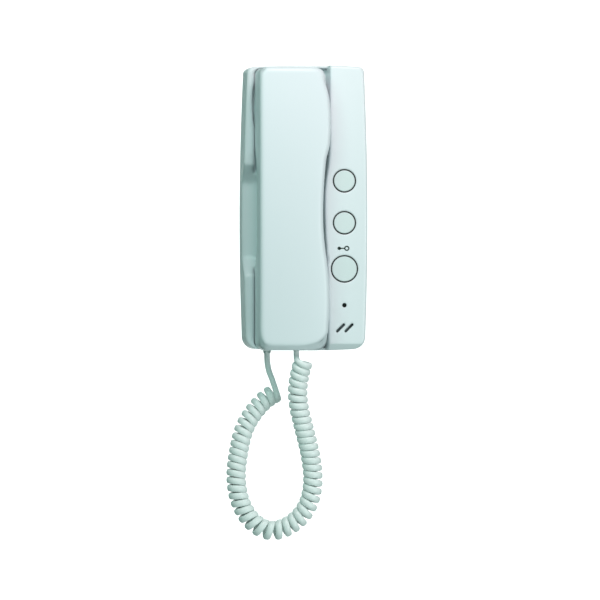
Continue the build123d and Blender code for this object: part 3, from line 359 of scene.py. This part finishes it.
# Grain is the distance between dimples, and flow the width of a patch of tone. The real eroded grain is
# about 0.05 mm wide, too fine to show, and is drawn about ten times as coarse
finishes = {
    # case: injection-moulded ABS, a cool satin white whose soft edges catch the light
    "mouldedAbs": {
        "maker": mouldedPlastic, "colour": "#F1F7FA", "shade": "#EDF4F7", "roughness": 0.33, "ior": 1.53,
        "grain": 0.5, "grainDepth": 0.02, "bump": 0.25, "flow": 60,
        "softEdge": 2.4, "cheekEdge": 5.0, "cheekEnds": (-36.5, -35.5),
        "nodes": ["front_case", "rear_case"],
    },
    # handset: the same ABS from another mould, a shade greyer, with rounder edges that fade softly
    "mouldedAbsHandset": {
        "maker": mouldedPlastic, "colour": "#EDF3F7", "shade": "#E9F1F5", "roughness": 0.35, "ior": 1.53,
        "grain": 0.5, "grainDepth": 0.02, "bump": 0.25, "flow": 60, "softEdge": 3.6,
        "nodes": ["handset_front_shell", "handset_back_shell"],
    },
    # caps and plunger: ABS with a touch of green and less gloss, so that they stand off the panel
    "mouldedAbsKeys": {
        "maker": mouldedPlastic, "colour": "#E6F0F0", "shade": "#E0ECEB", "roughness": 0.4, "ior": 1.53,
        "grain": 0.5, "grainDepth": 0.02, "bump": 0.25, "flow": 30, "softEdge": 0.5,
        "nodes": ["talk_button", "call_button", "door_release_button", "hook_plunger"],
    },
    # switches and sockets: moulded black nylon, dull, with a soft sheen along its edges; the same black also
    # makes the rings of painted shade in the gaps round the keys
    "blackNylonAndGapShade": {
        "maker": mouldedPlastic, "colour": "#16181A", "shade": "#1B1E20", "roughness": 0.5, "ior": 1.53,
        "grain": 0.4, "grainDepth": 0.03, "bump": 0.25, "flow": 20,
        "nodes": [
            "button_switches", "hook_switch", "talk_contact", "call_contact", "door_release_contact",
            "microphone_capsule", "base_socket", "handset_socket", "terminal_block",
        ],
    },
    # sign: pad-printed ink, a thin even film of greenish black
    "padInk": {
        "maker": mouldedPlastic, "colour": "#1B302B", "shade": "#213831", "roughness": 0.55, "ior": 1.5,
        "grain": 0.3, "grainDepth": 0.01, "bump": 0.25, "flow": 8,
        "nodes": [],
    },
    # cord: extruded soft vinyl, nearly white, with one smooth soft highlight along each turn; its white is
    # painted light, brighter than the vinyl's own, standing in for light that the lamps bring too little of
    # to the low cord
    "cordVinylPaintedLight": {
        "maker": mouldedPlastic, "colour": "#FCFFFE", "shade": "#F6FDFB", "roughness": 0.34, "ior": 1.53,
        "grain": 0.8, "grainDepth": 0.02, "bump": 0.25, "flow": 40,
        "nodes": ["cord_lead", "cord_curls"],
    },
    # gaskets and boot: open-cell foam, black and pitted, with no gloss at all
    "cellFoam": {
        "maker": mouldedPlastic, "colour": "#1F2122", "shade": "#2A2D2E", "roughness": 0.9, "ior": 1.45,
        "grain": 0.6, "grainDepth": 0.15, "bump": 0.8, "flow": 6,
        "nodes": ["speaker_gasket", "receiver_gasket", "microphone_boot"],
    },
    # lens: polished smoked acrylic, nearly black, with a sharp highlight
    "smokedAcrylic": {
        "maker": mouldedPlastic, "colour": "#101314", "shade": "#151819", "roughness": 0.12, "ior": 1.49,
        "grain": 2.0, "grainDepth": 0.005, "bump": 0.25, "flow": 10,
        "nodes": ["status_lens"],
    },
    # lamp: cast red epoxy, glossy and even
    "redEpoxy": {
        "maker": mouldedPlastic, "colour": "#A02018", "shade": "#8A1A14", "roughness": 0.2, "ior": 1.52,
        "grain": 1.0, "grainDepth": 0.01, "bump": 0.25, "flow": 5,
        "nodes": ["status_lamp"],
    },
    # bracket and screws: zinc plate on stamped steel, a bright grey; its streaks are as coarse as they
    # need to be to show
    "zincPlate": {
        "maker": turnedMetal, "colour": "#B9BCC0", "roughness": 0.36, "metallic": 1,
        "grain": 0.5, "grainDepth": 0.02, "bump": 0.3,
        "nodes": [
            "wall_bracket", "case_screws", "main_board_screws", "terminal_board_screws", "terminal_screws",
            "handset_screws",
        ],
    },
    # speaker and receiver: drawn steel cans, a darker satin grey
    "capsuleSteel": {
        "maker": turnedMetal, "colour": "#9A9DA1", "roughness": 0.42, "metallic": 1,
        "grain": 0.8, "grainDepth": 0.02, "bump": 0.3,
        "nodes": ["chime_speaker", "receiver_capsule"],
    },
    # boards: green solder mask; the glass weave of 0.5 mm is drawn twice as coarse to show
    "solderMask": {
        "maker": lacqueredLaminate, "colour": "#1F5A34", "shade": "#1A4D2C", "roughness": 0.35,
        "grain": 1.0, "grainDepth": 0.02, "bump": 0.2, "flow": 12,
        "nodes": ["main_circuit_board", "terminal_board"],
    },
    # plugs: clear polycarbonate with a faint green tint, through which the socket shows
    "polycarbonate": {
        "maker": clearPlastic, "colour": "#E6F1EE", "roughness": 0.12, "ior": 1.58, "clearness": 0.75,
        "grainDepth": 0.02, "bump": 0.2, "flow": 5,
        "nodes": ["base_plug", "handset_plug"],
    },
}
papers = {
    "sweepPaper": {"colour": "#FFFFFF", "glow": 1.0},
    "floorPaper": {"colour": "#E9EEEE", "glow": 0},
}
# real fibres are too fine to show, so these are drawn about a millimetre wide
paperFacts = {"roughness": 0.9, "fibresPerMetre": 900, "grainDepth": 0.05, "bump": 0.1}


def giveFinish(piece, name):
    piece.data.materials.clear()
    piece.data.materials.append(materials[name])


materials = {name: facts["maker"](name, facts) for name, facts in finishes.items()}
for finishName, finishFacts in finishes.items():
    for nodeName in finishFacts["nodes"]:
        giveFinish(nodes[nodeName], finishName)
for paperName, ownFacts in papers.items():
    sweep.data.materials.append(studioPaper(paperName, paperFacts | ownFacts))
for polygon in sweep.data.polygons:
    polygon.material_index = 1 if polygon.center.z < sweepFacts["glowsAbove"] / 1000 else 0
print("finishes given to", sum(len(facts["nodes"]) for facts in finishes.values()), "nodes")

bodyOf = {node: body for body, held in frame["record"]["behaviour"]["bodies"].items() for node in held}

# Mouldings: smooth copies of the visible CAD mouldings, so that their rounds shade as rounds. Three of
# them are reshaped first, each by its own function

crownFacts = {"centreX": 0.6, "wideZ": 64.0, "topZ": 100.6, "startShare": 0.587, "gain": 1.1, "power": 2.8}


def fillCrown(work):
    # the handset's top right corner is fuller than a quarter of an ellipse
    centre, wide, start = crownFacts["centreX"], crownFacts["wideZ"], crownFacts["startShare"]
    for vertex in work.verts:
        x = vertex.co.x * 1000 - centre
        reach = (vertex.co.z * 1000 - wide) / (crownFacts["topZ"] - wide)
        if x > 0 and reach > start:
            rise = (min(reach, 1) - start) / (1 - start)
            x *= 1 + crownFacts["gain"] * rise ** crownFacts["power"]
            vertex.co.x = (x + centre) / 1000


def cutAcross(work, spots, normal):
    # adds corners along straight cuts, so that a flat face can be bent
    for spot in spots:
        geometry = work.verts[:] + work.edges[:] + work.faces[:]
        where = [spot / 1000 * part for part in normal]
        bmesh.ops.bisect_plane(work, geom=geometry, plane_co=where, plane_no=normal)


plumpFacts = {
    "middleX": -12.0,
    "halfWidth": 24.0,
    "drop": 1.6,  # how far the face falls at half its width
    "cutsX": (-34.0, -32.0, -29.5, -27.0, -22.0, -17.0, -12.0, -7.0, -2.0, 2.0, 5.0, 8.0),
    "cutsZ": (-99.0, -97.0, -94.5, -91.5, -88.5, 93.0, 95.5, 97.5, 99.0),
    # each corner's X and Z, and how far from it the rounding starts across and along
    "corners": ((-36.2, -101.0, 8.5, 13.0), (11.0, -101.0, 20.0, 12.5), (-36.2, 100.0, 6.5, 7.0)),
    "cornerMost": 1.1,  # shares of that reach past which the rounding grows no more
    "depths": (48.0, 54.0),  # the change starts at the first and is whole at the second
}


def plumpFront(work):
    # the front face rounds off at three corners and falls slightly to both sides
    fillCrown(work)
    cutAcross(work, plumpFacts["cutsX"], (1, 0, 0))
    cutAcross(work, plumpFacts["cutsZ"], (0, 0, 1))
    low, high = plumpFacts["depths"]
    middle, most = plumpFacts["middleX"], plumpFacts["cornerMost"]
    for vertex in work.verts:
        x, y, z = (value * 1000 for value in vertex.co)
        share = min(max((-y - low) / (high - low), 0), 1)
        for cornerX, cornerZ, reachX, reachZ in plumpFacts["corners"]:
            sideX = 1 if cornerX > middle else -1
            sideZ = 1 if cornerZ > 0 else -1
            u = (sideX * (x - cornerX) + reachX) / reachX
            v = (sideZ * (z - cornerZ) + reachZ) / reachZ
            if u > 0 and v > 0:
                u, v = min(u, most), min(v, most)
                x -= share * sideX * reachX * u * (1 - math.sqrt(1 - v * v / 2))
                z -= share * sideZ * reachZ * v * (1 - math.sqrt(1 - u * u / 2))
        y += share * plumpFacts["drop"] * ((x - middle) / plumpFacts["halfWidth"]) ** 2
        vertex.co = (x / 1000, y / 1000, z / 1000)


slitFacts = {
    "wallX": -36.9,
    "cheekDepth": 25.0,
    "corner": (-31.9, 96.1),
    "cornerShift": 0.4,
    # height and shift of the rim: above zero it stands nearer to the handset
    "line": (
        (-102.0, 0.55), (57.0, 0.55), (65.0, -0.9), (77.0, -1.6), (85.0, -1.1), (91.5, 0.5), (97.0, 0.5),
    ),
    "within": 0.1,  # a corner this near to the rim's line is on it
}


def openSlit(work):
    # the upper cheek's rim bends away from the handset, so the gap between them opens like a wedge,
    # and elsewhere the rim stands closer to it
    line, within, wall = slitFacts["line"], slitFacts["within"], slitFacts["wallX"]
    cutAcross(work, [height for height, shift in line[1:-1]], (0, 0, 1))
    cornerX, cornerZ = slitFacts["corner"]
    cornerRadius = cornerX - wall
    for vertex in work.verts:
        x, y, z = (value * 1000 for value in vertex.co)
        if abs(-y - slitFacts["cheekDepth"]) > within:
            continue
        if abs(x - wall) < within:
            for (low, lowShift), (high, highShift) in zip(line, line[1:]):
                if low <= z < high:
                    shift = lowShift + (highShift - lowShift) * (z - low) / (high - low)
                    vertex.co.x += shift / 1000
        elif x < cornerX and z > cornerZ:
            if math.hypot(x - cornerX, z - cornerZ) < cornerRadius + within:
                inward = Vector((cornerX - x, 0, cornerZ - z)).normalized()
                vertex.co += inward * (slitFacts["cornerShift"] / 1000)


mouldingFacts = {
    "nodes": (
        "front_case", "rear_case", "handset_front_shell", "handset_back_shell",
        "talk_button", "call_button", "door_release_button",
    ),
    "reshaped": {"front_case": openSlit, "handset_front_shell": plumpFront, "handset_back_shell": fillCrown},
    "mergeWithin": 0.02,
    "sharpAngle": 28,  # degrees
    "faceWeight": 80,
}


def smoothCopy(node):
    # a CAD mesh is loose triangles, so its corners are merged before it can shade smoothly
    mesh = nodes[node].data.copy()
    piece = addToScene("moulded_" + node, mesh)
    work = bmesh.new()
    work.from_mesh(mesh)
    bmesh.ops.remove_doubles(work, verts=work.verts, dist=mouldingFacts["mergeWithin"] / 1000)
    if node in mouldingFacts["reshaped"]:
        mouldingFacts["reshaped"][node](work)
    work.to_mesh(mesh)
    work.free()
    if "custom_normal" in mesh.attributes:
        mesh.attributes.remove(mesh.attributes["custom_normal"])
    shadeSmooth(mesh)
    mesh.set_sharp_from_angle(angle=math.radians(mouldingFacts["sharpAngle"]))
    weighted = piece.modifiers.new("evenShading", "WEIGHTED_NORMAL")
    weighted.keep_sharp = True
    weighted.weight = mouldingFacts["faceWeight"]
    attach(piece, bodyOf[node])
    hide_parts(node)


for mouldingNode in mouldingFacts["nodes"]:
    smoothCopy(mouldingNode)
print("mouldings smoothed")

# Cord: a straight lead from the base, then the curls, whose line winds round a smooth axis

cordFacts = {
    "diameter": 4.2,
    "curlRadius": 5.1,
    "turns": 48,
    "startAngle": -14.0,  # degrees, from the front
    "endAngle": 100.0,
    "leadLastRun": 6.0,
    "pointsPerTurn": 16,
    "strandSteps": 3,  # rings of the tube for each point
    "sides": 12,
    "axisSteps": 24,
    "bendLook": 3.0,  # the bend of the axis is measured over this length, at so many spots
    "bendSpots": 400,
    "wayLook": 0.004,  # shares of the axis over which its own way and the strand's first way are measured
    "startLook": 0.0004,
    "alongAxis": 1.13,  # the strand is so many times thicker along the axis
    "squareness": 3.0,
    "roundRings": 12,  # at both ends the strand goes from round to square over so many rings
}
leadPoints = [(-25.5, 11.8, -104.8), (-25.5, 11.8, -110.8), (-24.4, 13.8, -118.0)]
axisPoints = [
    (-19.5, 15.0, -133.5), (-26.0, 15.2, -136.6), (-35.4, 16.4, -146.4), (-43.2, 17.6, -158.6),
    (-47.4, 19.2, -176.0), (-49.8, 21.0, -194.0), (-47.2, 22.6, -212.0), (-38.2, 25.2, -227.2),
    (-24.4, 27.8, -234.0), (-9.2, 31.0, -228.2), (1.6, 34.2, -215.4), (5.2, 36.6, -197.6),
    (2.8, 38.4, -178.0), (-2.6, 39.8, -158.0), (-7.4, 40.8, -139.0), (-6.9, 41.4, -122.5),
    (-3.6, 45.2, -110.0),
]
plugEnd = place(-8.1, 41.0, -102.4)


def readSmoothLine(name, points, steps, diameter=0.0):
    # a NURBS spline led by the points, read as a mesh: a bare line, or a tube where it has a diameter
    data = bpy.data.curves.new(name, "CURVE")
    data.dimensions = "3D"
    spline = data.splines.new("NURBS")
    spline.points.add(len(points) - 1)
    for target, point in zip(spline.points, points):
        target.co = (*point, 1)
    spline.order_u = 3
    spline.use_endpoint_u = True
    data.resolution_u = steps
    data.bevel_depth = diameter / 2000
    data.bevel_resolution = (cordFacts["sides"] - 4) // 2
    data.use_fill_caps = diameter > 0
    curve = addToScene(name, data)  # it has to be in the scene while it is read
    bpy.context.view_layer.update()
    evaluated = curve.evaluated_get(bpy.context.evaluated_depsgraph_get())
    mesh = bpy.data.meshes.new_from_object(evaluated)
    bpy.data.objects.remove(curve)
    return mesh


# the axis as a line of points, and how far along it each of them lies
axisMesh = readSmoothLine("curlAxis", [place(*point) for point in axisPoints], cordFacts["axisSteps"])
axisLine = [vertex.co.copy() for vertex in axisMesh.vertices]
axisReach = [0.0]
for before, after in zip(axisLine, axisLine[1:]):
    axisReach.append(axisReach[-1] + (after - before).length)
axisLength = axisReach[-1]


def axisAt(share):
    reach = min(max(share, 0), 1) * axisLength
    k = min(max(bisect_left(axisReach, reach), 1), len(axisReach) - 1)
    part = (reach - axisReach[k - 1]) / (axisReach[k] - axisReach[k - 1])
    return axisLine[k - 1].lerp(axisLine[k], part)


def axisWay(share, look):
    return (axisAt(share + look) - axisAt(share - look)).normalized()


def spreadTurns():
    # the turns lie apart by their inner sides, so fewer of them fit where the axis bends
    spots = cordFacts["bendSpots"]
    look = cordFacts["bendLook"] / 1000 / axisLength
    table = [0.0]
    for k in range(spots):
        share = (k + 0.5) / spots
        bend = axisWay(share + look, look) - axisWay(share - look, look)
        crowding = cordFacts["curlRadius"] * bend.length / (cordFacts["bendLook"] * 2)
        table.append(table[-1] + 1 - crowding)
    return table


turnTable = spreadTurns()


def turnedAt(share):
    # how much of the whole winding is done at this share of the axis
    spot = share * cordFacts["bendSpots"]
    k = min(int(spot), cordFacts["bendSpots"] - 1)
    return (turnTable[k] + (turnTable[k + 1] - turnTable[k]) * (spot - k)) / turnTable[-1]


def strandAt(share):
    ahead = axisWay(share, cordFacts["wayLook"])
    front = Vector((0, -1, 0))
    front = (front - ahead * front.dot(ahead)).normalized()
    side = front.cross(ahead)
    span = cordFacts["turns"] * 360 + cordFacts["endAngle"] - cordFacts["startAngle"]
    angle = math.radians(cordFacts["startAngle"] + span * turnedAt(share))
    radius = cordFacts["curlRadius"] / 1000
    return axisAt(share) + front * (radius * math.cos(angle)) + side * (radius * math.sin(angle))


def flattenTurns(tube, rings, first, last):
    # the turns press on each other, so from the first ring to the last the strand's section is a
    # rounded square
    count = len(tube.vertices) // rings
    finder = kdtree.KDTree(len(axisLine))
    for k, point in enumerate(axisLine):
        finder.insert(point, k)
    finder.balance()
    power, fade = cordFacts["squareness"], cordFacts["roundRings"]
    for ring in range(rings):
        corners = tube.vertices[ring * count : (ring + 1) * count]
        centre = sum((corner.co for corner in corners), Vector()) / count
        share = min(max((ring - first) / fade, 0), 1) * min(max((last - ring) / fade, 0), 1)
        k = min(max(finder.find(centre)[1], 1), len(axisLine) - 2)
        ahead = (axisLine[k + 1] - axisLine[k - 1]).normalized()
        outward = centre - axisLine[k]
        outward = (outward - ahead * outward.dot(ahead)).normalized()
        for corner in corners:
            offset = corner.co - centre
            along, out = offset.dot(ahead), offset.dot(outward)
            reach = math.hypot(along, out)
            if reach > 0:
                fuller = reach / (abs(along) ** power + abs(out) ** power) ** (1 / power)
                corner.co += ahead * (along * share * (fuller * cordFacts["alongAxis"] - 1))
                corner.co += outward * (out * share * (fuller - 1))


def makeCord():
    count = cordFacts["turns"] * cordFacts["pointsPerTurn"]
    curls = [strandAt(i / count) for i in range(count + 1)]
    startWay = (strandAt(cordFacts["startLook"]) - strandAt(0)).normalized()
    straight = cordFacts["diameter"] / 1000
    lead = [place(*point) for point in leadPoints]
    lead.append(curls[0] - startWay * (straight + cordFacts["leadLastRun"] / 1000))
    lead.append(curls[0] - startWay * straight)
    plugTail = [plugEnd - Vector((0, 0, straight)), plugEnd]
    points = lead + curls[:-1] + plugTail
    steps = cordFacts["strandSteps"]
    line = readSmoothLine("cordLine", points, steps)
    path = [tuple(vertex.co) for vertex in line.vertices]
    length = sum(math.dist(a, b) for a, b in zip(path, path[1:]))
    piece = addToScene("curlyCord", readSmoothLine("cordTube", points, steps, cordFacts["diameter"]))
    flattenTurns(piece.data, len(path), steps * len(lead), len(path) - steps * len(plugTail))
    shadeSmooth(piece.data)
    # this finish carries painted light: a brighter white than the vinyl's own
    giveFinish(piece, "cordVinylPaintedLight")
    return piece, path, length


cord, cordPath, cordLength = makeCord()
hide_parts("cord_lead", "cord_curls")
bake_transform(cord)
print("cord made,", round(cordLength, 3), "m,", len(cord.data.polygons), "faces")

# Key rings: black rings in the moats round the three buttons, made by one rule. They are painted shade: each
# stands in for the dark of the narrow gap between a flush key and the panel

shadeRingFacts = {
    "x": 27.0,
    "heights": (19.5, -10.7, -43.9),
    "radii": (8.03, 8.03, 9.48),
    # the rings stand up to the panel's face, so that their painted shade shows fully dark over the whole
    # moat
    "depth": 39.6,
    "width": 1.3,
    "segments": 64,
    "sides": 8,
}


# the rings' geometry: a black tube round each key, painted shade for the gap
def shadeRingTree():
    tree = bpy.data.node_groups.new("keyGapShadeRings", "GeometryNodeTree")
    tree.interface.new_socket("Geometry", in_out="INPUT", socket_type="NodeSocketGeometry")
    halfWidth = tree.interface.new_socket("Half width", in_out="INPUT", socket_type="NodeSocketFloat")
    shadeInput = tree.interface.new_socket("GapShade", in_out="INPUT", socket_type="NodeSocketMaterial")
    tree.interface.new_socket("Geometry", in_out="OUTPUT", socket_type="NodeSocketGeometry")
    given = addNode(tree, "NodeGroupInput")
    radius = addNode(
        tree,
        "GeometryNodeInputNamedAttribute",
        settings={"data_type": "FLOAT"},
        inputs={"Name": "shadeRingRadius"},
    )
    circle = addNode(
        tree,
        "GeometryNodeCurvePrimitiveCircle",
        inputs={"Resolution": shadeRingFacts["segments"], "Radius": 1.0},
    )
    toFront = addNode(
        tree,
        "GeometryNodeTransform",
        inputs={"Rotation": (math.radians(90), 0, 0)},
        links={"Geometry": circle.outputs["Curve"]},
    )
    copies = addNode(
        tree,
        "GeometryNodeInstanceOnPoints",
        links={
            "Points": given.outputs["Geometry"],
            "Instance": toFront.outputs["Geometry"],
            "Scale": radius.outputs["Attribute"],
        },
    )
    real = addNode(tree, "GeometryNodeRealizeInstances", links={"Geometry": copies.outputs["Instances"]})
    section = addNode(
        tree,
        "GeometryNodeCurvePrimitiveCircle",
        inputs={"Resolution": shadeRingFacts["sides"]},
        links={"Radius": given.outputs["Half width"]},
    )
    swept = addNode(
        tree,
        "GeometryNodeCurveToMesh",
        links={"Curve": real.outputs["Geometry"], "Profile Curve": section.outputs["Curve"]},
    )
    shadeSet = addNode(
        tree,
        "GeometryNodeSetMaterial",
        links={"Geometry": swept.outputs["Mesh"], "Material": given.outputs["GapShade"]},
    )
    addNode(tree, "NodeGroupOutput", links={"Geometry": shadeSet.outputs["Geometry"]})
    return tree, halfWidth.identifier, shadeInput.identifier


def makeShadeRings():
    tree, halfWidthSocket, shadeSocket = shadeRingTree()
    centres = [place(shadeRingFacts["x"], shadeRingFacts["depth"], z) for z in shadeRingFacts["heights"]]
    piece = newMesh("keyGapShadeRings", centres, [])
    radius = piece.data.attributes.new("shadeRingRadius", "FLOAT", "POINT")
    for item, value in zip(radius.data, shadeRingFacts["radii"]):
        item.value = value / 1000
    grow = piece.modifiers.new("rings", "NODES")
    grow.node_group = tree
    grow[halfWidthSocket] = shadeRingFacts["width"] / 2000
    # the black given here is painted shade, standing in for the dark gap round each key
    grow[shadeSocket] = materials["blackNylonAndGapShade"]
    mesh = bpy.data.meshes.new_from_object(piece.evaluated_get(bpy.context.evaluated_depsgraph_get()))
    piece.modifiers.clear()
    piece.data = mesh
    return piece


# rings of painted shade in the key gaps
rings = makeShadeRings()
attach(rings, "base")
print("key rings made,", len(rings.data.polygons), "faces")

# Door key sign, printed above the large button: a ring for the bow, a shaft, and a disc at its end

signFacts = {
    "x": 26.3,
    "z": -29.1,
    "depth": 40.05,
    "thick": 0.04,
    "bowX": 2.4,
    "bowOuter": 1.95,
    "bowInner": 1.0,
    "discX": -3.1,
    "discRadius": 1.3,
    "discHole": 0.02,  # too small to see
    "shaftHalf": 0.42,
    "flatness": 0.95,  # height of a ring to its width
    "corners": 32,
}


def flatRing(points, faces, centreX, outer, inner):
    # adds a ring round a point of the shaft's line, measured from the sign's middle
    corners, flatness = signFacts["corners"], signFacts["flatness"]
    start = len(points)
    for k in range(corners):
        turn = 2 * math.pi * k / corners
        for radius in (outer, inner):
            points.append((centreX + radius * math.cos(turn), radius * math.sin(turn) * flatness))
    for k in range(corners):
        a, b = start + 2 * k, start + 2 * ((k + 1) % corners)
        faces.append((a, b, b + 1, a + 1))


def makeSign():
    points = []
    faces = []
    bowX, discX, half = signFacts["bowX"], signFacts["discX"], signFacts["shaftHalf"]
    flatRing(points, faces, bowX, signFacts["bowOuter"], signFacts["bowInner"])
    flatRing(points, faces, discX, signFacts["discRadius"], signFacts["discHole"])
    start = len(points)
    shaftEnd = bowX - signFacts["bowOuter"] + half / 2
    points += [(discX, -half), (shaftEnd, -half), (shaftEnd, half), (discX, half)]
    faces.append((start, start + 1, start + 2, start + 3))
    spots = [place(signFacts["x"] + x, signFacts["depth"], signFacts["z"] + z) for x, z in points]
    piece = newMesh("doorKeySign", spots, faces)
    film = piece.modifiers.new("inkFilm", "SOLIDIFY")
    film.thickness = signFacts["thick"] / 1000
    film.offset = -1
    giveFinish(piece, "padInk")
    return piece


sign = makeSign()
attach(sign, "base")
print("door key sign made")
